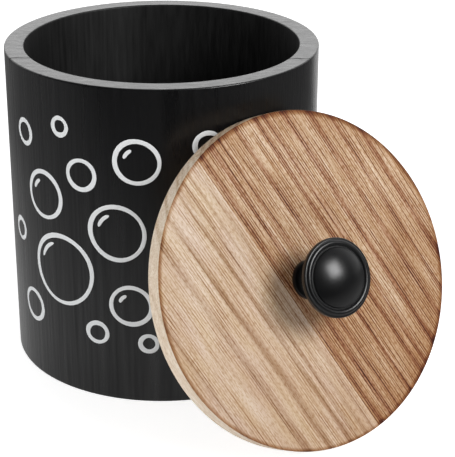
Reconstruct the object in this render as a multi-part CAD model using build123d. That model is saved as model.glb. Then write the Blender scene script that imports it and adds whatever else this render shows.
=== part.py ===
from build123d import *
import math
import os

# A round wooden tablet container with its lid taken off and leaned against the wall.
# Frame: millimetres, +Z up, origin on the canister's axis at the floor, -Y towards the front.
# The lid is modelled in a frame of its own: x level along its face, y up the slope of the
# face, z out of the face along the knob's axis, origin at the middle of the face.

# Canister
canister_diameter = 150.0
canister_height = 155.0
wall_thickness = 9.3
rim_ease = 0.7              # sanded edges of the mouth
foot_ease = 1.0             # sanded edge round the foot
base_thickness = 9.0
base_rebate = 3.6           # how far the base reaches under the wall
base_side_gap = 0.1         # glue line round the base

# Boards of the glued block that the canister was turned from, front to back
front_board_depth = 46.4
middle_board_depth = 40.0
block_turn = -2.1           # degrees, the glue lines against the X axis

# Lid
lid_diameter = 151.5
lid_thickness = 9.4
lid_ease = 0.6              # sanded edges of the lid
board_joint_offset = -12.3  # from the lid's centre to the line where its two boards meet
grain_turn = 24.5           # degrees, the boards' grain against the slope of the lid
plug_clearance = 1.5        # between the locating plug and the bore, all round
plug_thickness = 5.0
plug_ease = 1.0
head_recess_clearance = 1.5 # round the screw's head
head_recess_spare = 0.5     # of the recess below the screw's head

# How the lid leans
lean_tilt = 23.9            # degrees back from upright
lean_azimuth = 31.6         # degrees, the face's direction from -Y towards +X
lean_sideways = 4.3         # from the plane of the lean through the canister's axis
lean_clearance = 0.3        # between the lid's back edge and the wall

# Knob, turned; its first heights are above the lid's face
foot_radius = 8.9
foot_height = 2.0
foot_edge_round = 0.7
foot_shoulder = 1.3         # flat of the foot outside the neck's curve
neck_radius = 5.6
neck_height = 7.0           # where the neck is thinnest
flare_radius = 13.2         # where the neck's flare ends under the head
flare_height = 18.2
head_radius = 17.45
head_back_rise = 1.9        # from the end of the flare to the back of the head's edge
head_edge_thickness = 2.4
head_edge_round = 0.7
edge_flat = 1.1             # between the head's edge and its round bead
bead_width = 2.5
bead_rise = 0.75            # the bead above the flat
bead_gap = 0.6              # between the bead and the step inside it
ring_slant = 0.35           # raised step where the dome starts
ring_rise = 0.75
ring_round = 0.25
dome_rise = 3.75            # the top of the dome above the step

# Screw that holds the knob, an M4 machine screw with a pan head
screw_diameter = 4.0
screw_length = 20.0
screw_thread_clearance = 0.05
screw_hole_clearance = 0.3
screw_head_diameter = 8.0
screw_head_height = 2.5
screw_head_round = 1.5
screw_tip_round = 0.4
cross_length = 4.4
cross_width = 0.9
cross_depth = 1.3
knob_hole_spare = 3.4       # of the knob's hole beyond the screw's tip
drill_point_angle = 118.0

canister_radius = canister_diameter / 2
bore_radius = canister_radius - wall_thickness
lid_radius = lid_diameter / 2
plug_radius = bore_radius - plug_clearance
base_seat_radius = bore_radius + base_rebate
head_back_height = flare_height + head_back_rise
edge_height = head_back_height + head_edge_thickness
ring_height = edge_height + ring_rise
dome_height = ring_height + dome_rise
bead_out = head_radius - edge_flat
bead_in = bead_out - bead_width
ring_radius = bead_in - bead_gap - ring_slant
screw_radius = screw_diameter / 2
screw_head_radius = screw_head_diameter / 2
screw_hole_radius = screw_radius + screw_hole_clearance
head_recess_radius = screw_head_radius + head_recess_clearance
head_recess_depth = screw_head_height + head_recess_spare
screw_tip_height = screw_length - lid_thickness - plug_thickness + head_recess_depth
knob_hole_depth = screw_tip_height + knob_hole_spare
front_glue_line = front_board_depth - canister_radius
back_glue_line = front_glue_line + middle_board_depth
knob_hole_radius = screw_radius + screw_thread_clearance


def turned(face):
    """A solid of revolution about Z from a face drawn as (radius, height)."""
    return revolve(Plane.XZ * face, Axis.Z)


def corner_round(face, corners, radius):
    """Rounds the corners of a flat face that lie nearest to the given points."""
    picked = [min(face.vertices(), key=lambda v: (Vector(*p) - Vector(v.X, v.Y)).length)
              for p in corners]
    return fillet(picked, radius)


def eased(radius, height, inward, upward, size):
    """A sanded corner of a turned outline, as three points from its upright side to its flat.

    The corner is at (radius, height). The signs say which way the wood lies from it: inward is
    -1 where the wood is nearer the axis, and upward is 1 where it is above. The middle point
    lies on the quarter circle that the two flats stand for.
    """
    middle = size * (1 - math.sqrt(0.5))
    return [(radius, height + upward * size),
            (radius + inward * middle, height + upward * middle),
            (radius + inward * size, height)]


def wall_ring():
    """The turned wall, with the rebate for the base cut in its foot."""
    foot = eased(canister_radius, 0, -1, 1, foot_ease)
    rim_out = eased(canister_radius, canister_height, -1, -1, rim_ease)
    rim_in = eased(bore_radius, canister_height, 1, -1, rim_ease)
    return turned(make_face(Polyline(
        (base_seat_radius, 0), *reversed(foot), *rim_out, *reversed(rim_in),
        (bore_radius, base_thickness), (base_seat_radius, base_thickness), close=True)))


def block_slice(front, back, side=0):
    """The part of the block between two glue lines; side picks its left (-1) or right (1) half."""
    reach = 2 * (canister_diameter + canister_height)
    width = reach if side == 0 else reach / 2
    box = Box(width, back - front, reach)
    box = Pos(side * width / 2, (front + back) / 2, 0) * box
    return Rot(0, 0, block_turn) * box


def canister_boards():
    """The wall as its boards: one across the front, one across the back, two arcs between."""
    ring = wall_ring()
    outside = canister_diameter
    return {
        "wall_front_board": ring & block_slice(-outside, front_glue_line),
        "wall_left_board": ring & block_slice(front_glue_line, back_glue_line, -1),
        "wall_right_board": ring & block_slice(front_glue_line, back_glue_line, 1),
        "wall_back_board": ring & block_slice(back_glue_line, outside),
    }


def canister_base():
    """The round base, glued into the rebate flush with the foot."""
    return extrude(Circle(base_seat_radius - base_side_gap), base_thickness)


def lid_disc():
    """The whole lid before it is split into its boards, with the screw hole."""
    back = eased(lid_radius, -lid_thickness, -1, 1, lid_ease)
    front = eased(lid_radius, 0, -1, -1, lid_ease)
    return turned(make_face(Polyline(
        (screw_hole_radius, -lid_thickness), *reversed(back), *front, (screw_hole_radius, 0),
        close=True)))


def lid_boards():
    """The two boards of the lid, glued edge to edge along the grain."""
    disc = lid_disc()
    reach = 2 * lid_diameter
    pale_side = Pos(board_joint_offset - reach / 2, 0, 0) * Box(reach, reach, reach)
    pale_side = Rot(0, 0, grain_turn) * pale_side
    return {"lid_pale_board": disc & pale_side, "lid_dark_board": disc - pale_side}


def lid_plug():
    """The disc under the lid that drops into the mouth, with a recess for the screw's head."""
    top = -lid_thickness
    bottom = top - plug_thickness
    recess_top = bottom + head_recess_depth
    lower_edge = eased(plug_radius, bottom, -1, 1, plug_ease)
    return turned(make_face(Polyline(
        (screw_hole_radius, top), (plug_radius, top), *lower_edge,
        (head_recess_radius, bottom), (head_recess_radius, recess_top),
        (screw_hole_radius, recess_top), close=True)))


def dome_at(radius):
    """Height of the knob's dome, a cap of a sphere from its ring to its top."""
    sphere = (ring_radius ** 2 + dome_rise ** 2) / (2 * dome_rise)
    return dome_height - sphere + math.sqrt(sphere ** 2 - radius ** 2)


def knob_outline():
    """Half section of the knob: foot, waisted neck, head with bead and ring, and dome."""
    point_rise = knob_hole_radius / math.tan(math.radians(drill_point_angle / 2))
    return make_face([
        Polyline((knob_hole_radius, 0), (foot_radius, 0), (foot_radius, foot_height),
                 (foot_radius - foot_shoulder, foot_height)),
        Spline([(foot_radius - foot_shoulder, foot_height), (neck_radius, neck_height),
                (flare_radius, flare_height)], tangents=[(-1, 0.2), (1, 0.35)]),
        Polyline((flare_radius, flare_height), (head_radius, head_back_height),
                 (head_radius, edge_height), (bead_out, edge_height)),
        ThreePointArc((bead_out, edge_height),
                      ((bead_out + bead_in) / 2, edge_height + bead_rise),
                      (bead_in, edge_height)),
        Polyline((bead_in, edge_height), (ring_radius + ring_slant, edge_height),
                 (ring_radius, ring_height)),
        ThreePointArc((ring_radius, ring_height), (ring_radius / 2, dome_at(ring_radius / 2)),
                      (0, dome_height)),
        Polyline((0, dome_height), (0, knob_hole_depth + point_rise),
                 (knob_hole_radius, knob_hole_depth), (knob_hole_radius, 0)),
    ])


def knob():
    """The one-piece knob, with a blind threaded hole up its middle."""
    outline = corner_round(knob_outline(), [(foot_radius, foot_height)], foot_edge_round)
    outline = corner_round(outline, [(head_radius, head_back_height),
                                     (head_radius, edge_height)], head_edge_round)
    outline = corner_round(outline, [(ring_radius, ring_height)], ring_round)
    return turned(outline)


def knob_screw():
    """Pan-head machine screw, up through the plug and the lid into the knob."""
    tip = screw_tip_height
    seat = tip - screw_length
    low = seat - screw_head_height
    outline = make_face(Polyline(
        (0, low), (screw_head_radius, low), (screw_head_radius, seat), (screw_radius, seat),
        (screw_radius, tip), (0, tip), close=True))
    outline = corner_round(outline, [(screw_head_radius, low)], screw_head_round)
    outline = corner_round(outline, [(screw_radius, tip)], screw_tip_round)
    cross = Box(cross_length, cross_width, 2 * cross_depth)
    cross += Box(cross_width, cross_length, 2 * cross_depth)
    return turned(outline) - Pos(0, 0, low) * cross


def standoff(radius, depth, centre_height):
    """How far out the lid's face must stand so that one round edge of it clears the canister.

    The edge is a circle of the given radius, a depth behind the face. Each point of it below
    the rim is held outside the wall. Where the edge reaches above the rim, its plane is held
    outside the rim's front as well. The place that asks for most decides.
    """
    tilt = math.radians(lean_tilt)
    limit = canister_radius + lean_clearance
    thickness_out = depth * math.cos(tilt)
    middle = centre_height - depth * math.sin(tilt)
    needs = [0.0]
    if middle + radius * math.cos(tilt) > canister_height:
        needs.append(limit + (canister_height - middle) * math.tan(tilt) + thickness_out)
    for step in range(1800):
        turn = math.radians(step * 0.1)
        across = lean_sideways + radius * math.cos(turn)
        height = middle + radius * math.sin(turn) * math.cos(tilt)
        if abs(across) < limit and height <= canister_height:
            lean_back = radius * math.sin(turn) * math.sin(tilt)
            needs.append(math.sqrt(limit ** 2 - across ** 2) + lean_back + thickness_out)
    return max(needs)


def lid_plane():
    """The plane of the lid's face where it leans, its lower back edge on the floor."""
    tilt = math.radians(lean_tilt)
    azimuth = math.radians(lean_azimuth)
    middle = lid_ease * (1 - math.sqrt(0.5))
    corner = min(lid_ease * math.cos(tilt), middle * (math.cos(tilt) + math.sin(tilt)),
                 lid_ease * math.sin(tilt))
    centre_height = lid_radius * math.cos(tilt) + lid_thickness * math.sin(tilt) - corner
    out = max(standoff(lid_radius, lid_thickness, centre_height),
              standoff(plug_radius, lid_thickness + plug_thickness, centre_height))
    outward = Vector(math.sin(azimuth), -math.cos(azimuth), 0)
    level = Vector(math.cos(azimuth), math.sin(azimuth), 0)
    centre = outward * out + level * lean_sideways + Vector(0, 0, centre_height)
    facing = outward * math.cos(tilt) + Vector(0, 0, math.sin(tilt))
    return Plane(origin=centre, x_dir=level, z_dir=facing)


def build():
    """Every piece in its place, by name."""
    pieces = {**canister_boards(), "canister_base": canister_base()}
    lean = lid_plane().location
    lid = {**lid_boards(), "lid_plug": lid_plug(), "knob": knob(), "knob_screw": knob_screw()}
    pieces.update({name: lean * piece for name, piece in lid.items()})
    return pieces


os.makedirs("parts", exist_ok=True)
for name, piece in build().items():
    export_step(piece, f"parts/{name}.step")
    print(name, round(piece.volume, 1), piece.bounding_box())
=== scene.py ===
"""Looks of a round wooden tablet container, its lid taken off and leaned against the wall.

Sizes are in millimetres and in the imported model's frame until a mesh is made, which is in
metres: +Z up, the origin on the canister's axis at the floor, -Y towards the front. The lid's
pieces are worked out in the lid's own frame (x level along its face, y up the slope of the
face, z out of the face along the knob's axis) and then moved to where the lid leans. The
studio is in metres throughout. Angles are given in degrees.
"""

import logging
import math
from collections.abc import Mapping, Sequence
from dataclasses import dataclass, field
from enum import Enum

import bmesh
import bpy
import numpy as np
from mathutils import Matrix, Vector


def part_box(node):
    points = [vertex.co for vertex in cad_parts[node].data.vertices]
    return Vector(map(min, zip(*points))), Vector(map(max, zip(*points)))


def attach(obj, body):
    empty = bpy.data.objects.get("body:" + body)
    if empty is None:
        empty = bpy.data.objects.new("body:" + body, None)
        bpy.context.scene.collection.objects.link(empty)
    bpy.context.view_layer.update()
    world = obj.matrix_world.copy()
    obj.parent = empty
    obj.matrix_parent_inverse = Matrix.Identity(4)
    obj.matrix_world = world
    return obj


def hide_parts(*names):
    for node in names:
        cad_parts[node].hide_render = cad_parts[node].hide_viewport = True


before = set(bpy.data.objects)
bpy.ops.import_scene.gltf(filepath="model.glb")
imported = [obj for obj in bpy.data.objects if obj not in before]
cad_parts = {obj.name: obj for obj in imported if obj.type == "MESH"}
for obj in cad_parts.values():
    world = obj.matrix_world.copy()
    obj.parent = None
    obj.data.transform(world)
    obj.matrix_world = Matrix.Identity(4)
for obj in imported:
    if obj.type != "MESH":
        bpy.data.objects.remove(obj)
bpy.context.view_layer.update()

LOG = logging.getLogger("tablet_container")

MM = 0.001
TURN_STEPS = 240  # flats round a turned piece
KNOB_STEPS = 120  # flats round the knob
ROUND_STEPS = 5  # flats round a softened corner
HOLD_REACH = 1.7  # where the flat beside a softened corner is held, in the corner's own reach
MERGE_DISTANCE = 1e-5
SHARP_ANGLE = math.radians(32)
BODY = "root"
UNMOVED = Matrix()

Node = bpy.types.Node
Tree = bpy.types.NodeTree
Source = bpy.types.Node | bpy.types.NodeSocket | float
Inputs = Mapping[str, object] | Sequence[object]
Span = tuple[float, float]
Place = tuple[float, float, float]


def linear(colour: str) -> tuple[float, float, float, float]:
    """Turns an sRGB hex colour into linear light.

    Each channel c becomes c / 12.92 up to 0.04045, and ((c + 0.055) / 1.055) ** 2.4 above it.

    Args:
        colour: the colour as "#RRGGBB".

    Returns:
        Linear red, green and blue, and an alpha of 1.
    """
    coded = np.array([int(colour[k : k + 2], 16) for k in (1, 3, 5)]) / 255
    light = np.where(coded <= 0.04045, coded / 12.92, ((coded + 0.055) / 1.055) ** 2.4)
    return (*(float(c) for c in light), 1.0)


def wire(tree: Tree, node: Node, inputs: Inputs) -> None:
    """Sets a node's inputs, or links them.

    Args:
        tree: the node tree that the node is in.
        node: the node.
        inputs: what goes into its sockets, by their names, or in the order of those in use:
            a value, an output to link from, or a node, whose first output in use is taken.
    """
    if isinstance(inputs, Mapping):
        pairs = [(node.inputs[name], value) for name, value in inputs.items()]
    else:
        pairs = zip([socket for socket in node.inputs if socket.enabled], inputs)
    for socket, value in pairs:
        if isinstance(value, Node):
            value = next(output for output in value.outputs if output.enabled)
        if isinstance(value, bpy.types.NodeSocket):
            tree.links.new(value, socket)
        else:
            socket.default_value = value


def add_node(tree: Tree, kind: str, inputs: Inputs = (), **settings: object) -> Node:
    """Adds one shader node with its settings and links.

    Args:
        tree: the node tree that gets the node.
        kind: the node's type without its leading "ShaderNode".
        inputs: what goes into its sockets, as wire() takes it.
        settings: the node's own properties.

    Returns:
        The new node.
    """
    node = tree.nodes.new("ShaderNode" + kind)
    for name, value in settings.items():
        setattr(node, name, value)
    wire(tree, node, inputs)
    return node


def new_material(
    name: str, kind: str = "BsdfPrincipled"
) -> tuple[bpy.types.Material, Tree, Node]:
    """Starts a material.

    Args:
        name: the material's name.
        kind: the type of its last shader, as add_node() takes it.

    Returns:
        The material, its node tree and its last shader.
    """
    material = bpy.data.materials.new(name)
    material.use_nodes = True
    tree = material.node_tree
    tree.nodes.clear()
    surface = add_node(tree, kind)
    add_node(tree, "OutputMaterial", {"Surface": surface})
    return material, tree, surface


def in_millimetres(tree: Tree) -> Node:
    """Gives the place on the object in millimetres."""
    place = add_node(tree, "TexCoord").outputs["Object"]
    return add_node(tree, "Mapping", {"Vector": place, "Scale": (1 / MM, 1 / MM, 1 / MM)})


def on_board(tree: Tree, grain: Matrix) -> Node:
    """Gives the place on a board in millimetres.

    Args:
        tree: the material's node tree.
        grain: the frame of the board's grain, in metres.

    Returns:
        The place: x across the grain, y along it, z out of the face.
    """
    place = {
        "Vector": add_node(tree, "TexCoord").outputs["Object"],
        "Location": grain.to_translation(),
        "Rotation": grain.to_euler(),
        "Scale": (MM, MM, MM),
    }
    return add_node(tree, "Mapping", place, vector_type="TEXTURE")


def from_axis(tree: Tree, place: Source) -> Node:
    """Measures how far a place lies from the Z axis of its frame."""
    level = add_node(tree, "VectorMath", (place, (1, 1, 0)), operation="MULTIPLY")
    return add_node(tree, "VectorMath", (level,), operation="LENGTH")


def seen_or_mirrored(tree: Tree) -> tuple[Source, Source]:
    """Tells the rays apart.

    Args:
        tree: the node tree of the floor or of the world.

    Returns:
        1 for a ray from the camera, straight or through glass, and 1 for a mirrored ray.
    """
    rays = add_node(tree, "LightPath").outputs
    straight = (rays["Is Camera Ray"], rays["Is Transmission Ray"])
    return add_node(tree, "Math", straight, operation="MAXIMUM"), rays["Is Glossy Ray"]


def softened(outline: Sequence[Sequence[float]] | np.ndarray) -> np.ndarray:
    """Rounds the marked corners of an outline.

    A corner becomes an arc that touches both its sides, rounding / tan(half its angle) away
    from it. One more point on each side keeps the flat beside the arc flat when it is shaded.

    Args:
        outline: rows of radius, height and rounding, where 0 leaves the point as it is.

    Returns:
        Rows of radius and height.
    """
    path = np.asarray(outline, float)
    parts, done = [], 0
    share = np.linspace(0, 1, ROUND_STEPS + 1)[:, None]
    for k in np.flatnonzero(path[:, 2]):
        corner, rounding = path[k, :2], path[k, 2]
        sides = np.stack([path[k - 1, :2], path[(k + 1) % len(path), :2]]) - corner
        lengths = np.linalg.norm(sides, axis=1, keepdims=True)
        sides /= lengths
        half = math.acos(float(sides[0] @ sides[1])) / 2
        touch = rounding / math.tan(half)
        bisector = sides.sum(0) / np.linalg.norm(sides.sum(0))
        centre = corner + bisector * rounding / math.sin(half)
        start, end = corner + sides * touch - centre
        turn = math.pi - 2 * half
        arc = (np.sin((1 - share) * turn) * start + np.sin(share * turn) * end) / math.sin(turn)
        hold = corner + sides * np.minimum(HOLD_REACH * touch, 0.5 * (touch + lengths))
        parts += [path[done:k, :2], hold[:1], centre + arc, hold[1:]]
        done = k + 1
    return np.vstack([*parts, path[done:, :2]])


def skinned(
    points: np.ndarray, rows_join: bool = True, columns_join: bool = True
) -> bmesh.types.BMesh:
    """Covers a grid of points with four-sided faces.

    A face joins the points (i, j), (i + 1, j), (i + 1, j + 1) and (i, j + 1).

    Args:
        points: the grid, as rows of columns of points.
        rows_join: whether the last row joins the first. Rows that don't are closed by a flat
            face at each end.
        columns_join: whether the last column joins the first.

    Returns:
        The surface.
    """
    rows, columns = points.shape[:2]
    i, j = np.indices((rows - (not rows_join), columns - (not columns_join)))
    here, beyond = i * columns, (i + 1) % rows * columns
    after = (j + 1) % columns
    corners = np.stack([here + j, beyond + j, beyond + after, here + after], axis=-1)
    faces = corners.reshape(-1, 4).tolist()
    if not rows_join:
        faces += [list(range(columns)), list(range((rows - 1) * columns, rows * columns))]
    mesh = bpy.data.meshes.new("skin")
    mesh.from_pydata(points.reshape(-1, 3).tolist(), [], faces)
    shape = bmesh.new()
    shape.from_mesh(mesh)
    bpy.data.meshes.remove(mesh)
    return shape


def turned(
    outline: np.ndarray, closed: bool = True, steps: int = TURN_STEPS
) -> bmesh.types.BMesh:
    """Turns an outline about Z.

    Point j of the outline at angle a lies at (radius_j cos a, radius_j sin a, height_j).
    Points on the axis fall together and are merged, which closes the poles.

    Args:
        outline: rows of radius and height.
        closed: whether the last point joins the first.
        steps: how many flats go round.

    Returns:
        The turned shape, in millimetres.
    """
    radius, height = outline.T
    angle = np.arange(steps) * (2 * math.pi / steps)
    level = [np.outer(np.cos(angle), radius), np.outer(np.sin(angle), radius)]
    points = np.stack([*level, np.broadcast_to(height, level[0].shape)], axis=-1)
    shape = skinned(points, columns_join=closed)
    bmesh.ops.remove_doubles(shape, verts=shape.verts[:], dist=MERGE_DISTANCE)
    return shape


def sawn(shape: bmesh.types.BMesh, through: Vector, drop: Vector) -> bmesh.types.BMesh:
    """Saws a shape along a plane, drops one side and closes the cut.

    Args:
        shape: the shape, which is changed.
        through: a point of the plane.
        drop: the plane's normal, which points to the side that is dropped.

    Returns:
        The same shape.
    """
    every = shape.verts[:] + shape.edges[:] + shape.faces[:]
    result = bmesh.ops.bisect_plane(
        shape, geom=every, dist=MERGE_DISTANCE, plane_co=through, plane_no=drop, clear_outer=True
    )
    rim = [e for e in result["geom_cut"] if isinstance(e, bmesh.types.BMEdge)]
    if rim:
        bmesh.ops.edgeloop_fill(shape, edges=rim)
    return shape


def dressed(pieces: Sequence[bpy.types.Object], material: bpy.types.Material) -> None:
    """Gives pieces one material.

    Args:
        pieces: new pieces or CAD nodes.
        material: the material.
    """
    for piece in pieces:
        piece.data.materials.clear()
        piece.data.materials.append(material)
        LOG.info("%s: %s", piece.name, material.name)


@dataclass(frozen=True)
class Lean:
    """How the lid leans, how thick it is, and the frame of its face.

    The centre of the face lies half a thickness out of the middle of the box of its boards.
    """

    tilt: float = 23.9
    azimuth: float = 31.6
    grain_turn: float = 24.5
    thickness: float = 9.4

    def face(self) -> Matrix:
        """Works out the frame of the lid's face.

        Returns:
            A matrix in metres with x level, y up the slope and z out of the face.
        """
        tilt, azimuth = math.radians(self.tilt), math.radians(self.azimuth)
        level = Vector((math.cos(azimuth), math.sin(azimuth), 0))
        out = Vector((math.sin(azimuth), -math.cos(azimuth), 0))
        normal = out * math.cos(tilt) + Vector((0, 0, math.sin(tilt)))
        corners = np.array([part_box("lid_pale_board"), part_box("lid_dark_board")])
        middle = Vector((corners[:, 0].min(0) + corners[:, 1].max(0)) / 2)
        centre = middle + normal * self.thickness * MM / 2
        turn = Matrix((level, normal.cross(level), normal)).transposed()
        return Matrix.Translation(centre) @ turn.to_4x4()

    def grain(self) -> Matrix:
        """Works out the frame of the boards' grain: x across it, y along it, z out of the face."""
        return self.face() @ Matrix.Rotation(math.radians(self.grain_turn), 4, "Z")


@dataclass(frozen=True)
class Pattern:
    """Noise of a given size along each axis, in millimetres.

    It is 0 up to low and 1 from high on. Detail counts its finer layers, and harshness says
    how strong they are.
    """

    size: Place
    detail: float = 2.0
    low: float = 0.0
    high: float = 1.0
    harshness: float = 0.5

    def draw(self, tree: Tree, place: Source) -> Node:
        """Draws the pattern.

        Args:
            tree: the material's node tree.
            place: the place, in millimetres.

        Returns:
            The pattern, from 0 to 1.
        """
        scale = tuple(1 / size for size in self.size)
        sized = add_node(tree, "Mapping", {"Vector": place, "Scale": scale})
        layers = {"Scale": 1.0, "Detail": self.detail, "Roughness": self.harshness}
        noise = add_node(tree, "TexNoise", {"Vector": sized, **layers})
        return add_node(tree, "MapRange", (noise, self.low, self.high))


class BoardCut(Enum):
    """Which way a black board's grain runs: up the wall, or flat across the base.

    The value is the size of a streak across the block, into it and up it, in millimetres.
    """

    UPRIGHT = (7.0, 1.1, 90.0)
    FLAT = (90.0, 1.1, 7.0)


@dataclass(frozen=True)
class BlackStainedPaulownia:
    """Paulownia turned, sanded and finished in a thin satin black stain.

    The stain is thin, so the straight grain still shows as faint upright streaks in its colour,
    its gloss and its surface: the open grain drinks the stain and mirrors less. The real grain
    is about 0.3 mm fine and is drawn at about 1.1 mm. On the rim it is cut across and shows as
    short dashes along the boards. Inside, the stain is brushed on once and stays matter and
    greyer. Where two boards are glued a hairline shows in the rim, stronger on one line.
    """

    name: str
    cut: BoardCut
    bore_radius: float
    height: float
    block_turn: float
    glue_lines: tuple[Span, ...]
    colour: str = "#0A0A0B"
    streak_colour: str = "#121213"
    inside_colour: str = "#0E0E0E"
    inside_light: str = "#1A1A1A"
    seam_colour: str = "#040404"
    streak_detail: float = 4.0
    streak_harshness: float = 0.65
    streak_span: Span = (0.35, 0.7)
    shine_span: Span = (0.3, 0.7)
    shine: Span = (0.66, 0.34)
    roughness: Span = (0.26, 0.36)
    inside_roughness: float = 0.55
    relief: float = 0.03
    bore_margin: float = 0.2
    brush_marks: Pattern = Pattern((2.2, 2.2, 16.0), 3.0, 0.35, 0.65)
    seam_width: float = 1.0
    seam_sway: float = 3.0
    sway: Pattern = Pattern((4.0, 4.0, 4.0), 1.0)
    seam_shine: float = 0.02
    seam_depth: float = 5.0

    def material(self) -> bpy.types.Material:
        """Makes the material.

        Returns:
            The material.
        """
        material, tree, surface = new_material(self.name)
        place = in_millimetres(tree)
        turn = (0, 0, -math.radians(self.block_turn))
        block = add_node(tree, "Mapping", {"Vector": place, "Rotation": turn})
        grain = Pattern(self.cut.value, self.streak_detail, harshness=self.streak_harshness)
        streak = grain.draw(tree, block)
        streaks = add_node(tree, "MapRange", (streak, *self.streak_span))
        outside = (streaks, linear(self.colour), linear(self.streak_colour))
        black = add_node(tree, "Mix", outside, data_type="RGBA")
        marks = self.brush_marks.draw(tree, place)
        brushed = (marks, linear(self.inside_colour), linear(self.inside_light))
        grey = add_node(tree, "Mix", brushed, data_type="RGBA")
        reach = (from_axis(tree, place), self.bore_radius + self.bore_margin)
        inside = add_node(tree, "Math", reach, operation="LESS_THAN")
        colour = add_node(tree, "Mix", (inside, black, grey), data_type="RGBA")
        seams = self._seams(tree, block)
        glued = (seams, colour, linear(self.seam_colour))
        filled = add_node(tree, "MapRange", (streak, *self.shine_span, *self.shine))
        gloss = add_node(tree, "Mix", (streaks, *self.roughness), data_type="FLOAT")
        rough = (inside, gloss, self.inside_roughness)
        looks = {
            "Base Color": add_node(tree, "Mix", glued, data_type="RGBA"),
            "Roughness": add_node(tree, "Mix", rough, data_type="FLOAT"),
            "Specular IOR Level": add_node(
                tree, "Mix", (seams, filled, self.seam_shine), data_type="FLOAT"
            ),
            "Normal": add_node(tree, "Bump", {"Distance": self.relief * MM, "Height": streaks}),
        }
        wire(tree, surface, looks)
        return material

    def _seams(self, tree: Tree, block: Source) -> Node:
        """Draws the hairlines where the boards are glued, only near the rim.

        Args:
            tree: the material's node tree.
            block: the place in the block of boards, in millimetres.

        Returns:
            Each line's strength on it, fading to 0 beside it and below the rim.
        """
        axes = add_node(tree, "SeparateXYZ", (block,)).outputs
        near_rim = add_node(tree, "MapRange", (axes[2], self.height - self.seam_depth, self.height))
        slow = (self.sway.draw(tree, block), self.seam_sway, axes[1])
        swaying = add_node(tree, "Math", slow, operation="MULTIPLY_ADD")
        hairlines: Source = 0.0
        for line, strength in self.glue_lines:
            middle = line + self.seam_sway / 2
            off = add_node(tree, "Math", (swaying, middle), operation="SUBTRACT")
            size = add_node(tree, "Math", (off,), operation="ABSOLUTE")
            fading = (size, self.seam_width / 4, self.seam_width, strength, 0.0)
            both = (hairlines, add_node(tree, "MapRange", fading))
            hairlines = add_node(tree, "Math", both, operation="MAXIMUM")
        return add_node(tree, "Math", (hairlines, near_rim), operation="MULTIPLY")


@dataclass(frozen=True)
class AcrylicPaint:
    """Off-white acrylic paint with a little grey in it, brushed on by hand.

    It is nearly matt, with fine marks of the bristles, which are drawn at about 0.8 mm.
    """

    name: str = "off_white_acrylic_paint"
    colour: str = "#D6D8D9"
    roughness: float = 0.55
    streaks: Pattern = Pattern((0.8, 0.8, 0.8))
    streak_depth: float = 0.01

    def material(self) -> bpy.types.Material:
        """Makes the material.

        Returns:
            The material.
        """
        material, tree, surface = new_material(self.name)
        streak = self.streaks.draw(tree, in_millimetres(tree))
        relief = {"Distance": self.streak_depth * MM, "Height": streak}
        looks = {
            "Base Color": linear(self.colour),
            "Roughness": self.roughness,
            "Normal": add_node(tree, "Bump", relief),
        }
        wire(tree, surface, looks)
        return material


@dataclass(frozen=True)
class GrowthRing:
    """One band of dark late wood: where it lies across the board, its width and its depth."""

    across: float
    width: float
    depth: float


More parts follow.
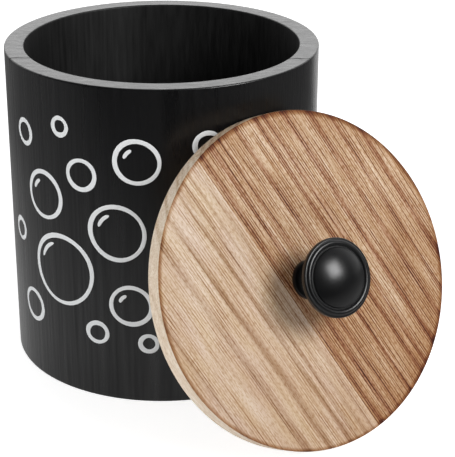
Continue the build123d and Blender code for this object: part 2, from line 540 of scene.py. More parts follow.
@dataclass(frozen=True)
class TorchedPaulownia:
    """Paulownia board, scorched with a flame and brushed with wire along its grain.

    The flame browns the dark late wood most. The brush takes out the soft early wood between
    the fibres, so the face has fine ridges with dark lines between them, and short dark pores.
    The early wood varies from a pinkish cream to straw. The board's outer edge is only sanded
    and stays cream, and the growth rings, which lean through the thickness, cross it as
    slanting tan marks. The real lines are about 0.3 mm apart, too fine to show, and are drawn
    at about 1.2 mm.

    How brown the wood is comes from one exponent on its colour: 1 leaves a colour and more
    browns it. The values named ground and contrast, scorch or burn add up to it.
    """

    name: str
    cream: str
    straw: str
    late: str
    edge_cream: str
    edge_late: str
    rings: tuple[GrowthRing, ...]
    ground: float
    fibre_contrast: float
    line_contrast: float
    pore_contrast: float
    flame_contrast: float
    scorch: float
    scorch_slope: Place
    rim_scorch: float
    rim_burn: float
    burn_reach: float
    brushing: Pattern
    late_contrast: float = 0.2
    rim_radius: float = 75.75
    rim_reach: float = 14.0
    rim_margin: float = 0.3
    lowest: float = -78.0
    highest: float = 78.0
    ring_profile: tuple[Span, ...] = ((-0.5, 0.0), (-0.15, 1.0), (0.6, 0.0))
    ring_lean: float = 1.0
    drift: float = 2.4
    drifting: Pattern = Pattern((50.0, 110.0, 50.0), 1.0)
    fray: float = 0.9
    fibres: Pattern = Pattern((1.5, 45.0, 1.5), 2.0, 0.3, 0.7)
    pores: Pattern = Pattern((0.5, 2.2, 0.5), 1.0, 0.48, 0.66)
    straws: Pattern = Pattern((9.0, 34.0, 9.0), 2.0, 0.3, 0.7)
    flame: Pattern = Pattern((15.3, 57.8, 15.3), 3.0, 0.3, 0.7)
    flame_span: Span = (0.5, 1.5)
    line_ends: Pattern = Pattern((1.3, 22.0, 1.3), 1.0, 0.36, 0.62)
    line_spacing: float = 1.15
    line_stretch: float = 30.0
    line_sway: float = 3.4
    line_detail: float = 2.0
    line_detail_scale: float = 1.3
    crest_span: Span = (0.45, 0.9)
    edge_span: Span = (0.3, 0.6)
    relief: float = 0.05
    shine: float = 0.2
    roughness: float = 0.62

    def ring_stops(self) -> list[Span]:
        """Lists the late wood's depth across the board: sharp on one side, fading on the other.

        Returns:
            Places from 0 to 1 across the board, each with its depth.
        """
        width = self.highest - self.lowest
        return sorted(
            ((ring.across + offset * ring.width - self.lowest) / width, share * ring.depth)
            for ring in self.rings
            for offset, share in self.ring_profile
        )

    def material(self, grain: Matrix) -> bpy.types.Material:
        """Makes the material.

        Args:
            grain: the frame of the board's grain, in metres.

        Returns:
            The material.
        """
        material, tree, surface = new_material(self.name)
        board = on_board(tree, grain)
        on_face = self._on_face(tree, grain)
        fibre = self.fibres.draw(tree, board)
        depth = self._late_wood(tree, board, fibre)
        brushed = (self._brushed(tree, board), on_face)
        lines = add_node(tree, "Math", brushed, operation="MULTIPLY")
        growth = (self.straws.draw(tree, board), linear(self.cream), linear(self.straw))
        early = add_node(tree, "Mix", growth, data_type="RGBA")
        face = add_node(tree, "Mix", (depth, early, linear(self.late)), data_type="RGBA")
        sanded = (depth, linear(self.edge_cream), linear(self.edge_late))
        edge = add_node(tree, "Mix", sanded, data_type="RGBA")
        colour = add_node(tree, "Mix", (on_face, edge, face), data_type="RGBA")
        brown = self._brown(tree, board, on_face, (fibre, lines, depth))
        looks = {
            "Base Color": add_node(tree, "Gamma", (colour, brown)),
            "Roughness": self.roughness,
            "Specular IOR Level": self.shine,
            "Normal": add_node(tree, "Bump", {"Distance": self.relief * MM, "Height": lines}),
        }
        wire(tree, surface, looks)
        return material

    def _on_face(self, tree: Tree, grain: Matrix) -> Node:
        """Marks the board's faces by how far their normal leaves the plane of the face.

        Args:
            tree: the material's node tree.
            grain: the frame of the board's grain, in metres.

        Returns:
            1 on the faces, 0 on the outer edge.
        """
        normal = add_node(tree, "NewGeometry").outputs["Normal"]
        out = add_node(
            tree, "VectorMath", (normal, grain.to_3x3().col[2]), operation="DOT_PRODUCT"
        )
        size = add_node(tree, "Math", (out,), operation="ABSOLUTE")
        return add_node(tree, "MapRange", (size, *self.edge_span))

    def _brushed(self, tree: Tree, board: Source) -> Node:
        """Draws the lines that the brush leaves: nearly parallel, each fading in and out.

        A wave across the board has its crests 2 pi / (20 scale) apart, and sways with a noise
        that is stretched along the board.

        Args:
            tree: the material's node tree.
            board: the place on the board, in millimetres.

        Returns:
            The lines, from 0 to 1.
        """
        stretch = (1, 1 / self.line_stretch, 1)
        swaying = {
            "Vector": add_node(tree, "Mapping", {"Vector": board, "Scale": stretch}),
            "Scale": 2 * math.pi / (20 * self.line_spacing),
            "Distortion": self.line_sway,
            "Detail": self.line_detail,
            "Detail Scale": self.line_detail_scale,
        }
        wave = add_node(tree, "TexWave", swaying).outputs["Fac"]
        crest = add_node(tree, "MapRange", (wave, *self.crest_span))
        ends = self.line_ends.draw(tree, board)
        return add_node(tree, "Math", (crest, ends), operation="MULTIPLY")

    def _late_wood(self, tree: Tree, board: Source, fibre: Source) -> Node:
        """Draws the growth rings.

        A ring's place across the board drifts slowly along the grain, frays at its sides with
        the fibres, and moves with the depth below the face, because the rings lean.

        Args:
            tree: the material's node tree.
            board: the place on the board, in millimetres.
            fibre: the fibres, from 0 to 1.

        Returns:
            How much late wood there is, from 0 to 1.
        """
        axes = add_node(tree, "SeparateXYZ", (board,)).outputs
        across: Source = axes[0]
        for share, amount in (
            (axes[2], self.ring_lean),
            (self.drifting.draw(tree, board), self.drift),
            (fibre, self.fray),
        ):
            across = add_node(tree, "Math", (share, amount, across), operation="MULTIPLY_ADD")
        middle = (self.drift + self.fray) / 2
        ends = (self.lowest + middle, self.highest + middle)
        ramp = add_node(tree, "ValToRGB", (add_node(tree, "MapRange", (across, *ends)),))
        elements = ramp.color_ramp.elements
        for end in elements:
            end.color = (0, 0, 0, 1)
        for position, depth in self.ring_stops():
            elements.new(position).color = (depth, depth, depth, 1)
        return ramp

    def _brown(
        self, tree: Tree, board: Source, on_face: Source, grain: tuple[Source, ...]
    ) -> Node:
        """Works out how deep the flame, the fibres, the lines and the pores brown the wood.

        The flame has scorched the face unevenly, more towards the rim and most in a narrow
        burnt line along it. The brush has left more lines in some places than in others.

        Args:
            tree: the material's node tree.
            board: the place on the board, in millimetres.
            on_face: 1 on the board's faces, 0 on its outer edge.
            grain: the fibres, the brushed lines and the late wood, from 0 to 1.

        Returns:
            The exponent that browns the colour.
        """
        fibre, lines, depth = grain
        flame = self.flame.draw(tree, board)
        radius = from_axis(tree, board)
        heat: Source = self.scorch
        for reach, amount in ((self.rim_reach, self.rim_scorch), (self.burn_reach, self.rim_burn)):
            near = (radius, self.rim_radius - reach, self.rim_radius - self.rim_margin)
            ring = add_node(tree, "MapRange", near)
            heat = add_node(tree, "Math", (ring, amount, heat), operation="MULTIPLY_ADD")
        uneven = add_node(tree, "Mix", (flame, *self.flame_span), data_type="FLOAT")
        slope = add_node(tree, "VectorMath", (board, self.scorch_slope), operation="DOT_PRODUCT")
        burnt = add_node(tree, "Math", (heat, uneven, slope), operation="MULTIPLY_ADD")
        total = add_node(tree, "Math", (burnt, on_face, self.ground), operation="MULTIPLY_ADD")
        left = (lines, self.brushing.draw(tree, board))
        for share, amount in (
            (flame, self.flame_contrast),
            (fibre, self.fibre_contrast),
            (add_node(tree, "Math", left, operation="MULTIPLY"), self.line_contrast),
            (self.pores.draw(tree, board), self.pore_contrast),
            (depth, self.late_contrast),
        ):
            total = add_node(tree, "Math", (share, amount, total), operation="MULTIPLY_ADD")
        return total


@dataclass(frozen=True)
class SatinEnamel:
    """Black satin enamel, stoved onto a cast zinc knob.

    Enamel of this kind has a soft even gloss with the faintest orange peel, under half a
    millimetre across, which is drawn about twice as coarse.
    """

    name: str = "satin_black_enamel"
    colour: str = "#0A0A0B"
    roughness: Span = (0.25, 0.35)
    peel: Pattern = Pattern((0.9, 0.9, 0.9))
    peel_depth: float = 0.0005

    def material(self) -> bpy.types.Material:
        """Makes the material.

        Returns:
            The material.
        """
        material, tree, surface = new_material(self.name)
        peel = self.peel.draw(tree, in_millimetres(tree))
        looks = {
            "Base Color": linear(self.colour),
            "Roughness": add_node(tree, "Mix", (peel, *self.roughness), data_type="FLOAT"),
            "Normal": add_node(tree, "Bump", {"Distance": self.peel_depth * MM, "Height": peel}),
        }
        wire(tree, surface, looks)
        return material


@dataclass(frozen=True)
class PlainPaulownia:
    """Bare sanded paulownia, pale and open-grained, as it is left where no one looks.

    Its fibres are finer than the render shows and are drawn at about 1.2 mm.
    """

    name: str = "plain_paulownia"
    colour: str = "#D6C2A8"
    grain_colour: str = "#B89C7C"
    fibres: Pattern = Pattern((1.2, 45.0, 1.2), 4.0)
    ring_spacing: float = 9.0
    ring_length: float = 100.0
    ring_scale: float = 0.32
    ring_sway: float = 9.0
    ring_detail_scale: float = 0.6
    ring_share: float = 0.35
    grain_span: Span = (0.35, 1.1)
    relief: float = 0.05
    roughness: float = 0.7

    def material(self, grain: Matrix) -> bpy.types.Material:
        """Makes the material.

        Args:
            grain: the frame of the board's grain, in metres.

        Returns:
            The material.
        """
        material, tree, surface = new_material(self.name)
        board = on_board(tree, grain)
        fibre = self.fibres.draw(tree, board)
        spacing = (1 / self.ring_spacing, 1 / self.ring_length, 1 / self.ring_spacing)
        banded = {
            "Vector": add_node(tree, "Mapping", {"Vector": board, "Scale": spacing}),
            "Scale": self.ring_scale,
            "Distortion": self.ring_sway,
            "Detail Scale": self.ring_detail_scale,
        }
        rings = add_node(tree, "TexWave", banded, wave_profile="SAW").outputs["Fac"]
        both = add_node(tree, "Math", (rings, self.ring_share, fibre), operation="MULTIPLY_ADD")
        share = add_node(tree, "MapRange", (both, *self.grain_span))
        tones = (share, linear(self.colour), linear(self.grain_colour))
        looks = {
            "Base Color": add_node(tree, "Mix", tones, data_type="RGBA"),
            "Roughness": self.roughness,
            "Normal": add_node(tree, "Bump", {"Distance": self.relief * MM, "Height": fibre}),
        }
        wire(tree, surface, looks)
        return material


@dataclass(frozen=True)
class ZincPlate:
    """Bright zinc plating on a steel screw, slightly clouded."""

    name: str = "bright_zinc_plate"
    colour: str = "#AFB0AE"
    roughness: Span = (0.22, 0.46)
    clouds: Pattern = Pattern((1.5, 1.5, 1.5), 3.0)

    def material(self) -> bpy.types.Material:
        """Makes the material.

        Returns:
            The material.
        """
        material, tree, surface = new_material(self.name)
        cloud = self.clouds.draw(tree, in_millimetres(tree))
        looks = {
            "Base Color": linear(self.colour),
            "Metallic": 1.0,
            "Roughness": add_node(tree, "Mix", (cloud, *self.roughness), data_type="FLOAT"),
        }
        wire(tree, surface, looks)
        return material


@dataclass
class Assembly:
    """A sub-assembly, which builds its pieces and then dresses them."""

    pieces: list[bpy.types.Object] = field(default_factory=list, init=False)

    def add(
        self,
        shape: bmesh.types.BMesh,
        name: str,
        place: Matrix = UNMOVED,
        node: str = "",
        slot: str = "",
    ) -> None:
        """Makes a piece of a shape, in metres and in its place, hangs it on the root body and hides
        its node.

        Args:
            shape: the shape in millimetres, which is freed.
            name: the piece's name.
            place: the frame in which the shape was worked out, in metres.
            node: the CAD node that it stands for, if it stands for one.
            slot: the record's material slot of that node; it is not used.
        """
        bmesh.ops.recalc_face_normals(shape, faces=shape.faces[:])
        mesh = bpy.data.meshes.new(name)
        shape.to_mesh(mesh)
        shape.free()
        mesh.transform(place @ Matrix.Scale(MM, 4))
        mesh.shade_smooth()
        mesh.set_sharp_from_angle(angle=SHARP_ANGLE)
        piece = bpy.data.objects.new(name, mesh)
        bpy.context.scene.collection.objects.link(piece)
        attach(piece, BODY)
        if node:
            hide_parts(node)
        LOG.info("%s: %d faces, stands for %s", name, len(mesh.polygons), node or "no node")
        self.pieces.append(piece)


@dataclass
class Canister(Assembly):
    """The turned wall, sawn where its boards are glued, and the base.

    The front glue line is the darker one.
    """

    diameter: float = 150.0
    height: float = 155.0
    wall: float = 9.3
    rim_ease: float = 0.7
    foot_ease: float = 1.0
    base_thickness: float = 9.0
    base_rebate: float = 3.6
    glue_lines: Span = (-28.6, 11.4)
    glue_strengths: Span = (1.0, 0.3)
    block_turn: float = -2.1
    slot: str = "black_painted_wood"

    def outline(self) -> np.ndarray:
        """Draws half of the wall's section: foot, outside, rim, bore and rebate.

        Returns:
            Rows of radius and height.
        """
        radius, bore = self.diameter / 2, self.diameter / 2 - self.wall
        seat = bore + self.base_rebate
        foot = [(seat, 0, 0), (radius, 0, self.foot_ease)]
        rim = [(radius, self.height, self.rim_ease), (bore, self.height, self.rim_ease)]
        rebate = [(bore, self.base_thickness, 0), (seat, self.base_thickness, 0)]
        return softened([*foot, *rim, *rebate])

    def build(self) -> None:
        """Turns the wall once for each board and saws off what isn't that board."""
        turn = Matrix.Rotation(math.radians(self.block_turn), 3, "Z")
        right, back = turn @ Vector((1, 0, 0)), turn @ Vector((0, 1, 0))
        front_line, back_line = (back * line for line in self.glue_lines)
        between, middle = [(front_line, -back), (back_line, back)], Vector((0, 0, 0))
        cuts = {
            "front": [(front_line, back)],
            "left": [*between, (middle, right)],
            "right": [*between, (middle, -right)],
            "back": [(back_line, -back)],
        }
        for side, planes in cuts.items():
            shape = turned(self.outline())
            for through, drop in planes:
                sawn(shape, through, drop)
            self.add(shape, f"black_{side}_board", UNMOVED, f"wall_{side}_board", self.slot)

    def black(self, name: str, cut: BoardCut) -> bpy.types.Material:
        """Makes the black finish for the canister's own sizes.

        Args:
            name: the material's name.
            cut: which way the grain runs.

        Returns:
            The material.
        """
        bore = self.diameter / 2 - self.wall
        lines = tuple(zip(self.glue_lines, self.glue_strengths))
        finish = BlackStainedPaulownia(name, cut, bore, self.height, self.block_turn, lines)
        return finish.material()

    def dress(self) -> None:
        """Gives the boards and the base their black finish."""
        dressed(self.pieces, self.black("black_stained_wall_boards", BoardCut.UPRIGHT))
        base = [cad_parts["canister_base"]]
        dressed(base, self.black("black_stained_base_board", BoardCut.FLAT))


@dataclass(frozen=True)
class Bubble:
    """One painted bubble: its middle along and up the wall, its radius, and its glint."""

    along: float
    up: float
    radius: float
    glint: bool = False

    def arc(self, angle: np.ndarray, radius: np.ndarray | float) -> np.ndarray:
        """Places points round the middle.

        Args:
            angle: each point's angle.
            radius: its distance from the middle.

        Returns:
            Rows of places along and up the wall.
        """
        return np.column_stack(
            [self.along + radius * np.cos(angle), self.up + radius * np.sin(angle)]
        )


@dataclass
class PaintedBubbles(Assembly):
    """Soap bubbles brushed on the wall in off-white paint, some with a short glint inside.

    Each stroke is a low bead of paint, carried along its path on the unrolled wall, which is
    then wrapped round the wall: a place s along and z up lies at the angle s / radius.
    """

    wall_radius: float = Canister.diameter / 2
    stroke: float = 2.15
    thickness: float = 0.09
    section: tuple[float, ...] = (-1, -0.8, -0.4, 0.4, 0.8, 1, 0.5, -0.5)
    section_top: int = 6
    sunk: float = 0.01
    underside: float = -0.05
    wobble: float = 0.012
    wobbles: tuple[Place, ...] = ((2, 1.7, 1.0), (3, 2.9, 0.6))
    unevenness: float = 0.12
    swells: tuple[Place, ...] = ((1, 2.3, 1.0), (4, 1.1, 0.5))
    steps_per_ring: int = 96
    glint_inset: float = 4.0
    glint_arc: Span = (math.radians(112), math.radians(165))
    glint_stroke: float = 0.85
    glint_end: float = 0.02
    finish: AcrylicPaint = AcrylicPaint()
    bubbles: tuple[Bubble, ...] = (
        Bubble(-52, 62, 17, True),
        Bubble(-16, 50, 9.5, True),
        Bubble(-22, 86, 13, True),
        Bubble(-62, 97, 11, True),
        Bubble(-39, 112, 7),
        Bubble(-12, 121, 10, True),
        Bubble(-76, 124, 5.5),
        Bubble(-50, 133, 4),
        Bubble(-33, 34, 5),
        Bubble(-75, 36, 7.5),
        Bubble(-8, 31, 4),
        Bubble(-86, 72, 5),
        Bubble(12, 98, 8),
        Bubble(20, 128, 6),
        Bubble(18, 68, 12, True),
        Bubble(42, 92, 9, True),
        Bubble(38, 42, 7),
        Bubble(46, 122, 4.5),
        Bubble(14, 40, 5),
    )

    def ring(self, bubble: Bubble, seed: int) -> tuple[np.ndarray, np.ndarray]:
        """Draws a bubble's round stroke.

        Point t of the path lies at the middle + r(t) (cos t, sin t), where r(t) is the radius
        with two slow waves on it, and the stroke's width has waves of its own. A wave is
        strength sin(count t + shift seed).

        Args:
            bubble: the bubble.
            seed: what tells one bubble's waves from another's.

        Returns:
            The path's points, and the stroke's width at each.
        """
        t = np.linspace(0, 2 * math.pi, self.steps_per_ring, endpoint=False)
        wave, swell = (
            sum(strength * np.sin(count * t + shift * seed) for count, shift, strength in waves)
            for waves in (self.wobbles, self.swells)
        )
        path = bubble.arc(t, bubble.radius * (1 + self.wobble * wave))
        return path, self.stroke * (1 + self.unevenness * swell)

    def glint(self, bubble: Bubble) -> tuple[np.ndarray, np.ndarray]:
        """Draws the short arc inside a bubble, whose width swells from its ends to its middle.

        Args:
            bubble: the bubble.

        Returns:
            The path's points, and the stroke's width at each.
        """
        t = np.linspace(*self.glint_arc, self.steps_per_ring // 4)
        share = np.linspace(-1, 1, len(t))
        swell = np.sqrt(np.maximum(1 - share**4, self.glint_end))
        path = bubble.arc(t, bubble.radius - self.glint_inset)
        return path, self.stroke * self.glint_stroke * swell

    def bead(self, path: np.ndarray, width: np.ndarray, closed: bool) -> bmesh.types.BMesh:
        """Carries the bead's section along a path and wraps it round the wall.

        The section at a point is a low arch over the stroke's width: across from -1 to 1 the
        paint is thickness (1 - across ** 4) high, and its flat underside lies just in the wall.

        Args:
            path: points along and up the wall.
            width: the stroke's width at each.
            closed: whether the path's last point joins its first.

        Returns:
            The bead, in millimetres.
        """
        if closed:
            heading = np.roll(path, -1, axis=0) - np.roll(path, 1, axis=0)
        else:
            heading = np.gradient(path, axis=0)
        heading /= np.linalg.norm(heading, axis=1, keepdims=True)
        side = np.column_stack([-heading[:, 1], heading[:, 0]])
        across = np.array(self.section)
        arch = self.thickness * (1 - across**4) - self.sunk
        rise = np.where(np.arange(len(across)) < self.section_top, arch, self.underside)
        flat = path[:, None] + side[:, None] * (across[None, :, None] * width[:, None, None] / 2)
        angle, up = flat[..., 0] / self.wall_radius, flat[..., 1]
        radius = self.wall_radius + rise
        points = np.stack([radius * np.sin(angle), -radius * np.cos(angle), up], axis=-1)
        return skinned(points, rows_join=closed)

    def build(self) -> None:
        """Paints every bubble and glint, and joins the strokes into one piece."""
        strokes = bmesh.new()
        for seed, bubble in enumerate(self.bubbles):
            beads = [self.bead(*self.ring(bubble, seed), closed=True)]
            if bubble.glint:
                beads.append(self.bead(*self.glint(bubble), closed=False))
            for bead in beads:
                mesh = bpy.data.meshes.new("stroke")
                bead.to_mesh(mesh)
                bead.free()
                strokes.from_mesh(mesh)
                bpy.data.meshes.remove(mesh)
        self.add(strokes, "painted_bubbles")

    def dress(self) -> None:
        """Gives the strokes their paint."""
        dressed(self.pieces, self.finish.material())


@dataclass
class Lid(Assembly):
    """The two glued boards of the lid and the plug under them."""

    diameter: float = 151.5
    ease: float = 0.6
    joint: float = -12.3
    plug_radius: float = 64.2
    plug_thickness: float = 5.0
    plug_ease: float = 1.0
    screw_hole_radius: float = 2.3
    recess_radius: float = 5.5
    recess_depth: float = 3.0
    lean: Lean = Lean()
    pale: TorchedPaulownia = TorchedPaulownia(
        name="pale_torched_paulownia",
        cream="#DAC7B7",
        straw="#D8C4AC",
        late="#A0774B",
        edge_cream="#DECFBD",
        edge_late="#A58257",
        ground=1.21,
        fibre_contrast=-0.525,
        line_contrast=2.1,
        pore_contrast=0.55,
        flame_contrast=0.15,
        scorch=0.24,
        scorch_slope=(0.0, -0.0035, 0.0),
        rim_scorch=0.1,
        rim_burn=1.8,
        burn_reach=1.8,
        brushing=Pattern((7.2, 51.0, 7.2), 2.0, 0.36, 0.66),
        rings=(
            GrowthRing(-69.5, 3.0, 0.26),
            GrowthRing(-48.8, 4.6, 0.38),
            GrowthRing(-38.6, 4.0, 0.52),
            GrowthRing(-28.4, 3.4, 0.48),
            GrowthRing(-24.4, 2.4, 0.38),
            GrowthRing(-19.8, 2.6, 0.25),
            GrowthRing(-15.3, 2.8, 0.26),
        ),
    )
    dark: TorchedPaulownia = TorchedPaulownia(
        name="dark_torched_paulownia",
        cream="#D8C3AD",
        straw="#D6BFA6",
        late="#A8714D",
        edge_cream="#D9C6B0",
        edge_late="#996D48",
        ground=1.3,
        fibre_contrast=-0.75,
        line_contrast=3.0,
        pore_contrast=0.85,
        flame_contrast=0.25,
        scorch=0.5,
        scorch_slope=(-0.0038, -0.0034, 0.0),
        rim_scorch=0.4,
        rim_burn=2.5,
        burn_reach=2.6,
        brushing=Pattern((7.2, 51.0, 7.2), 2.0, 0.12, 0.42),
        rings=(
            GrowthRing(-9.8, 3.4, 0.44),
            GrowthRing(-3.4, 3.6, 0.55),
            GrowthRing(2.0, 3.0, 0.39),
            GrowthRing(12.2, 3.2, 0.55),
            GrowthRing(22.6, 3.4, 0.5),
            GrowthRing(27.4, 3.6, 0.44),
            GrowthRing(36.8, 4.2, 0.6),
            GrowthRing(47.8, 3.6, 0.5),
            GrowthRing(56.6, 3.2, 0.44),
            GrowthRing(66.6, 4.0, 0.55),
        ),
    )
    plain: PlainPaulownia = PlainPaulownia()

    def disc(self) -> np.ndarray:
        """Draws half of the lid's section, from the screw hole to its sanded edge and back.

        Returns:
            Rows of radius and height.
        """
        radius, hole, below = self.diameter / 2, self.screw_hole_radius, -self.lean.thickness
        edge = [(radius, below, self.ease), (radius, 0, self.ease)]
        return softened([(hole, below, 0), *edge, (hole, 0, 0)])

    def plug_outline(self) -> np.ndarray:
        """Draws half of the plug's section, with the recess for the screw's head.

        Returns:
            Rows of radius and height.
        """
        hole, recess, radius = self.screw_hole_radius, self.recess_radius, self.plug_radius
        top, bottom = -self.lean.thickness, -self.lean.thickness - self.plug_thickness
        head = bottom + self.recess_depth
        edge = [(hole, top, 0), (radius, top, 0), (radius, bottom, self.plug_ease)]
        return softened([*edge, (recess, bottom, 0), (recess, head, 0), (hole, head, 0)])

    def build(self) -> None:
        """Turns the disc once for each board, saws it at their joint, and turns the plug."""
        face = self.lean.face()
        turn = math.radians(self.lean.grain_turn)
        across = Vector((math.cos(turn), math.sin(turn), 0))
        for tone, drop in (("pale", across), ("dark", -across)):
            shape = sawn(turned(self.disc()), across * self.joint, drop)
            name, node, slot = f"{tone}_torched_board", f"lid_{tone}_board", f"{tone}_lid_wood"
            self.add(shape, name, face, node, slot)
        self.add(turned(self.plug_outline()), "paulownia_plug", face, "lid_plug", "bare_wood")

    def dress(self) -> None:
        """Gives each board its torched grain, and the plug plain wood."""
        grain = self.lean.grain()
        for piece, finish in zip(self.pieces, (self.pale, self.dark, self.plain)):
            dressed([piece], finish.material(grain))


@dataclass
class Knob(Assembly):
    """The turned knob: foot, waisted neck, head with a bead and a step, and dome."""

    hole_radius: float = 2.05
    hole_depth: float = 12.0
    hole_point: float = 1.23
    foot_radius: float = 8.9
    foot_height: float = 2.0
    foot_round: float = 0.7
    foot_shoulder: float = 1.3
    neck_radius: float = 5.6
    neck_height: float = 7.0
    neck_start: Span = (-1.0, 0.2)
    neck_end: Span = (1.0, 0.35)
    flare_radius: float = 13.2
    flare_height: float = 18.2
    head_radius: float = 17.45
    head_back_height: float = 20.1
    edge_height: float = 22.5
    edge_round: float = 0.7
    bead_out: float = 16.35
    bead_in: float = 13.85
    bead_rise: float = 0.75
    step_foot_radius: float = 13.25
    step_radius: float = 12.9
    step_height: float = 23.25
    step_round: float = 0.25
    dome_height: float = 27.0
    curve_steps: int = 24
    lean: Lean = Lean()
    finish: SatinEnamel = SatinEnamel()
    screw_finish: ZincPlate = ZincPlate()

    def neck(self) -> np.ndarray:
        """Draws the neck's curve.

        It is the smooth cubic through three points with a given direction at each end: with
        chord lengths a and b and end directions t0 and t2, the direction at the middle point
        is (3 (b/a (p1 - p0) + a/b (p2 - p1)) - b t0 - a t2) / (2 (a + b)), and each half is the
        cubic that has these places and directions at its ends.

        Returns:
            Rows of radius, height and 0.
        """
        low = (self.foot_radius - self.foot_shoulder, self.foot_height)
        waist, high = (self.neck_radius, self.neck_height), (self.flare_radius, self.flare_height)
        points, ends = np.array([low, waist, high]), np.array([self.neck_start, self.neck_end])
        ends /= np.linalg.norm(ends, axis=1, keepdims=True)
        (a, b), (first, last) = np.linalg.norm(np.diff(points, axis=0), axis=1), ends
        pull = b / a * (points[1] - points[0]) + a / b * (points[2] - points[1])
        middle = (3 * pull - b * first - a * last) / (2 * (a + b))
        t = np.linspace(0, 1, self.curve_steps // 2 + 1)[:, None]
        halves = [
            (2 * t**3 - 3 * t**2 + 1) * p
            + (t**3 - 2 * t**2 + t) * length * at_p
            + (3 * t**2 - 2 * t**3) * q
            + (t**3 - t**2) * length * at_q
            for p, q, at_p, at_q, length in (
                (points[0], points[1], first, middle, a),
                (points[1], points[2], middle, last, b),
            )
        ]
        curve = np.vstack([halves[0], halves[1][1:]])
        return np.column_stack([curve, np.zeros(len(curve))])

    def bead(self) -> np.ndarray:
        """Draws the round bead: an arc over bead_in to bead_out that rises by bead_rise.

        Returns:
            Rows of radius, height and 0.
        """
        half, middle = (self.bead_out - self.bead_in) / 2, (self.bead_out + self.bead_in) / 2
        radius = (half**2 + self.bead_rise**2) / (2 * self.bead_rise)
        reach = math.asin(half / radius)
        angle = np.linspace(reach, -reach, self.curve_steps // 2 + 1)
        low = self.edge_height + self.bead_rise - radius
        return np.column_stack(
            [middle + radius * np.sin(angle), low + radius * np.cos(angle), 0 * angle]
        )

    def dome(self) -> np.ndarray:
        """Draws the dome: a cap of a sphere from the step to its top on the axis.

        Returns:
            Rows of radius, height and 0.
        """
        rise = self.dome_height - self.step_height
        sphere = (self.step_radius**2 + rise**2) / (2 * rise)
        angle = np.linspace(math.asin(self.step_radius / sphere), 0, self.curve_steps + 1)[1:]
        low = self.dome_height - sphere
        return np.column_stack([sphere * np.sin(angle), low + sphere * np.cos(angle), 0 * angle])

    def outline(self) -> np.ndarray:
        """Draws half of the knob's section, from the drilled hole to the top of the dome.

        Returns:
            Rows of radius and height.
        """
        foot = [
            (0, self.hole_depth + self.hole_point, 0),
            (self.hole_radius, self.hole_depth, 0),
            (self.hole_radius, 0, 0),
            (self.foot_radius, 0, 0),
            (self.foot_radius, self.foot_height, self.foot_round),
        ]
        head = [
            (self.head_radius, self.head_back_height, self.edge_round),
            (self.head_radius, self.edge_height, self.edge_round),
        ]
        step = [
            (self.step_foot_radius, self.edge_height, 0),
            (self.step_radius, self.step_height, self.step_round),
        ]
        return softened(np.vstack([foot, self.neck(), head, self.bead(), step, self.dome()]))

    def build(self) -> None:
        """Turns the knob on the lid's face, and smooths a copy of its screw."""
        shape = turned(self.outline(), closed=False, steps=KNOB_STEPS)
        self.add(shape, "black_knob", self.lean.face(), "knob", "black_metal")
        screw = bmesh.new()
        screw.from_mesh(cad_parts["knob_screw"].data)
        bmesh.ops.remove_doubles(screw, verts=screw.verts[:], dist=MERGE_DISTANCE * MM)
        in_metres = Matrix.Scale(1 / MM, 4)
        self.add(screw, "zinc_screw", in_metres, "knob_screw", "zinc_plated_steel")

    def dress(self) -> None:
        """Gives the knob its enamel and the screw its plating."""
        dressed(self.pieces[:1], self.finish.material())
        dressed(self.pieces[1:], self.screw_finish.material())


@dataclass(frozen=True)
class Softbox:
    """A square or oblong studio light.

    Its place is a distance from the point that it is aimed at, in a direction given by its
    angle round from the front towards the right and its height above the horizon.
    """

    name: str
    azimuth: float
    elevation: float
    distance: float
    width: float
    height: float
    watts: float
    mirrored: bool = True

    def hang(self, target: Vector) -> None:
        """Makes the light.

        Args:
            target: the point that it is aimed at, in metres.
        """
        azimuth, elevation = math.radians(self.azimuth), math.radians(self.elevation)
        level = Vector((math.sin(azimuth), -math.cos(azimuth), 0)) * math.cos(elevation)
        direction = level + Vector((0, 0, math.sin(elevation)))
        lamp = bpy.data.lights.new(self.name, "AREA")
        lamp.shape = "RECTANGLE"
        lamp.size, lamp.size_y, lamp.energy = self.width, self.height, self.watts
        light = bpy.data.objects.new(self.name, lamp)
        light.location = target + direction * self.distance
        light.rotation_euler = direction.to_track_quat("Z", "Y").to_euler()
        light.visible_camera = False
        light.visible_glossy = self.mirrored
        bpy.context.scene.collection.objects.link(light)
        LOG.info("%s: %.1f W", self.name, self.watts)


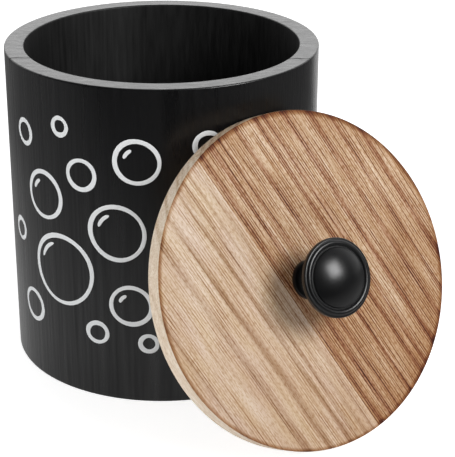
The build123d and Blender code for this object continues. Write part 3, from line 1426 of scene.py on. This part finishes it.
@dataclass(frozen=True)
class Studio:
    """A pale floor, white surroundings, soft lights and the camera."""

    floor_size: float = 6.0
    floor_white: str = "#F2F2F2"
    floor_dark: str = "#101010"
    lift: Span = (0.72, 0.95)
    lift_reach: Span = (0.5, 2.0)
    # painted reflection: how strongly the floor glows near the object, seen only in reflections
    reflection_glow: float = 0.45
    reflection_glow_reach: Span = (0.11, 0.38)
    cloth_edge: Span = (-0.42, -0.18)
    cloth_sides: Span = (-0.35, 0.35)
    cloth_greys: Span = (0.46, 0.25)
    card_edge: Span = (-0.025, 0.0)
    card_side: Span = (0.04, 0.1)
    card_turn: float = -51.5
    card_glow: float = 0.7
    ambient: float = 0.2
    dark_studio: float = 0.06
    dark_reach: Span = (0.0, 0.6)
    target: Place = (0.03, -0.05, 0.075)
    lights: tuple[Softbox, ...] = (
        Softbox("key_softbox", 50.4, 33.9, 0.9, 0.38, 0.38, 5.8),
        Softbox("fill_softbox", -55.0, 10.0, 1.2, 0.8, 0.8, 10.0, False),
        Softbox("back_softbox", 180.0, 30.0, 1.1, 1.3, 0.55, 3.0),
    )
    camera_place: Place = (0.0004, -0.6833, 0.3546)
    camera_yaw: float = 2.63
    camera_pitch: float = 23.55
    camera_roll: float = 0.27
    camera_clip: Span = (0.01, 50.0)
    sensor_width: float = 36.0
    focal_pixels: float = 1474.8
    frame_pixels: float = 457.0

    def lay_floor(self) -> None:
        """Lays the floor, which is white to the camera and keeps the object's shadow.

        In reflections it is grey round the object, white behind it to the right, and falls off
        to the dark studio in front of it. Near the object and on the card it also glows, but only
        in reflections: a painted reflection that brightens whatever mirrors the floor there.
        """
        corners = np.array([(-1, -1, 0), (1, -1, 0), (1, 1, 0), (-1, 1, 0)]) * self.floor_size / 2
        mesh = bpy.data.meshes.new("floor")
        mesh.from_pydata(corners.tolist(), [], [(0, 1, 2, 3)])
        floor = bpy.data.objects.new("floor", mesh)
        bpy.context.scene.collection.objects.link(floor)
        material, tree, surface = new_material("pale_floor", "AddShader")
        place = add_node(tree, "TexCoord").outputs["Object"]
        seen, mirrored = seen_or_mirrored(tree)
        darkness, card = self._surroundings(tree, place)
        beyond = add_node(tree, "Math", (darkness, mirrored), operation="MULTIPLY")
        papers = (beyond, linear(self.floor_white), linear(self.floor_dark))
        paper = add_node(tree, "BsdfDiffuse", (add_node(tree, "Mix", papers, data_type="RGBA"),))
        away = add_node(tree, "VectorMath", (place,), operation="LENGTH")
        # painted reflection: the floor glows near the object and on the card, only to mirrored rays
        near = add_node(tree, "MapRange", (away, *self.reflection_glow_reach, self.reflection_glow, 0.0))
        glowing = (card, self.card_glow, near)
        reflection_glow = add_node(tree, "Math", glowing, operation="MULTIPLY_ADD")
        soft = add_node(tree, "Math", (reflection_glow, mirrored), operation="MULTIPLY")
        level = add_node(tree, "MapRange", (away, *self.lift_reach, *self.lift))
        lift = add_node(tree, "Math", (seen, level, soft), operation="MULTIPLY_ADD")
        wire(tree, surface, (paper, add_node(tree, "Emission", {"Strength": lift})))
        mesh.materials.append(material)

    def _surroundings(self, tree: Tree, place: Source) -> tuple[Source, Source]:
        """Works out how dark the floor looks in reflections.

        A grey cloth lies round the object, lighter at the left, and fades to black in front of
        it. A white card lies behind it to the right.

        Args:
            tree: the floor's node tree.
            place: the place on the floor, in metres.

        Returns:
            The darkness, 0 where the floor is white and 1 where it is black, and where the
            card lies.
        """
        axes = add_node(tree, "SeparateXYZ", (place,)).outputs
        grey = add_node(tree, "MapRange", (axes[0], *self.cloth_sides, *self.cloth_greys))
        cloth = add_node(tree, "MapRange", (axes[1], *self.cloth_edge, 0.0, grey))
        turn = math.radians(self.card_turn)
        back = (place, (math.sin(turn), math.cos(turn), 0))
        behind = add_node(tree, "VectorMath", back, operation="DOT_PRODUCT")
        ends = [
            add_node(tree, "MapRange", (behind, *self.card_edge)),
            add_node(tree, "MapRange", (axes[0], *self.card_side)),
        ]
        card = add_node(tree, "Math", ends, operation="MINIMUM")
        white = add_node(tree, "Math", (cloth, card), operation="MAXIMUM")
        return add_node(tree, "Math", (1.0, white), operation="SUBTRACT"), card

    def surround(self) -> None:
        """Makes the surroundings: white to the camera, and soft even light on the object.

        Reflections see white behind the object and the darker studio in front of it.
        """
        world = bpy.data.worlds.new("white_studio")
        world.use_nodes = True
        bpy.context.scene.world = world
        tree = world.node_tree
        tree.nodes.clear()
        seen, mirrored = seen_or_mirrored(tree)
        direction = add_node(tree, "TexCoord").outputs["Generated"]
        back = add_node(tree, "SeparateXYZ", (direction,)).outputs[1]
        studio = add_node(tree, "MapRange", (back, *self.dark_reach, self.dark_studio, 1.0))
        light = add_node(tree, "Mix", (mirrored, self.ambient, studio), data_type="FLOAT")
        strength = add_node(tree, "Mix", (seen, light, 1.0), data_type="FLOAT")
        glow = add_node(tree, "Background", {"Color": (1, 1, 1, 1), "Strength": strength})
        add_node(tree, "OutputWorld", {"Surface": glow})

    def place_camera(self) -> None:
        """Places the camera: yaw towards +X, pitch down, and roll about its own line of sight."""
        angles = (self.camera_yaw, self.camera_pitch, self.camera_roll)
        yaw, pitch, roll = (math.radians(angle) for angle in angles)
        ahead = Vector((math.sin(yaw), math.cos(yaw), 0))
        forward = ahead * math.cos(pitch) - Vector((0, 0, math.sin(pitch)))
        level = Vector((math.cos(yaw), -math.sin(yaw), 0))
        upright = level.cross(forward)
        right = level * math.cos(roll) + upright * math.sin(roll)
        up = upright * math.cos(roll) - level * math.sin(roll)
        lens = bpy.data.cameras.new("camera")
        lens.sensor_width = self.sensor_width
        lens.lens = self.focal_pixels / self.frame_pixels * self.sensor_width
        lens.clip_start, lens.clip_end = self.camera_clip
        camera = bpy.data.objects.new("camera", lens)
        turn = Matrix((right, up, -forward)).transposed().to_4x4()
        camera.matrix_world = Matrix.Translation(self.camera_place) @ turn
        bpy.context.scene.collection.objects.link(camera)
        bpy.context.scene.camera = camera

    def build(self) -> None:
        """Sets up the floor, the surroundings, the lights and the camera."""
        self.lay_floor()
        self.surround()
        for light in self.lights:
            light.hang(Vector(self.target))
        self.place_camera()
        bpy.context.scene.view_settings.view_transform = "Standard"


def main() -> None:
    """Builds and dresses the canister, the lid and the knob, and sets up the studio."""
    logging.basicConfig(level=logging.INFO, format="%(name)s: %(message)s")
    Studio().build()
    for part in (Canister(), PaintedBubbles(), Lid(), Knob()):
        part.build()
        part.dress()


if __name__ == "__main__":
    main()
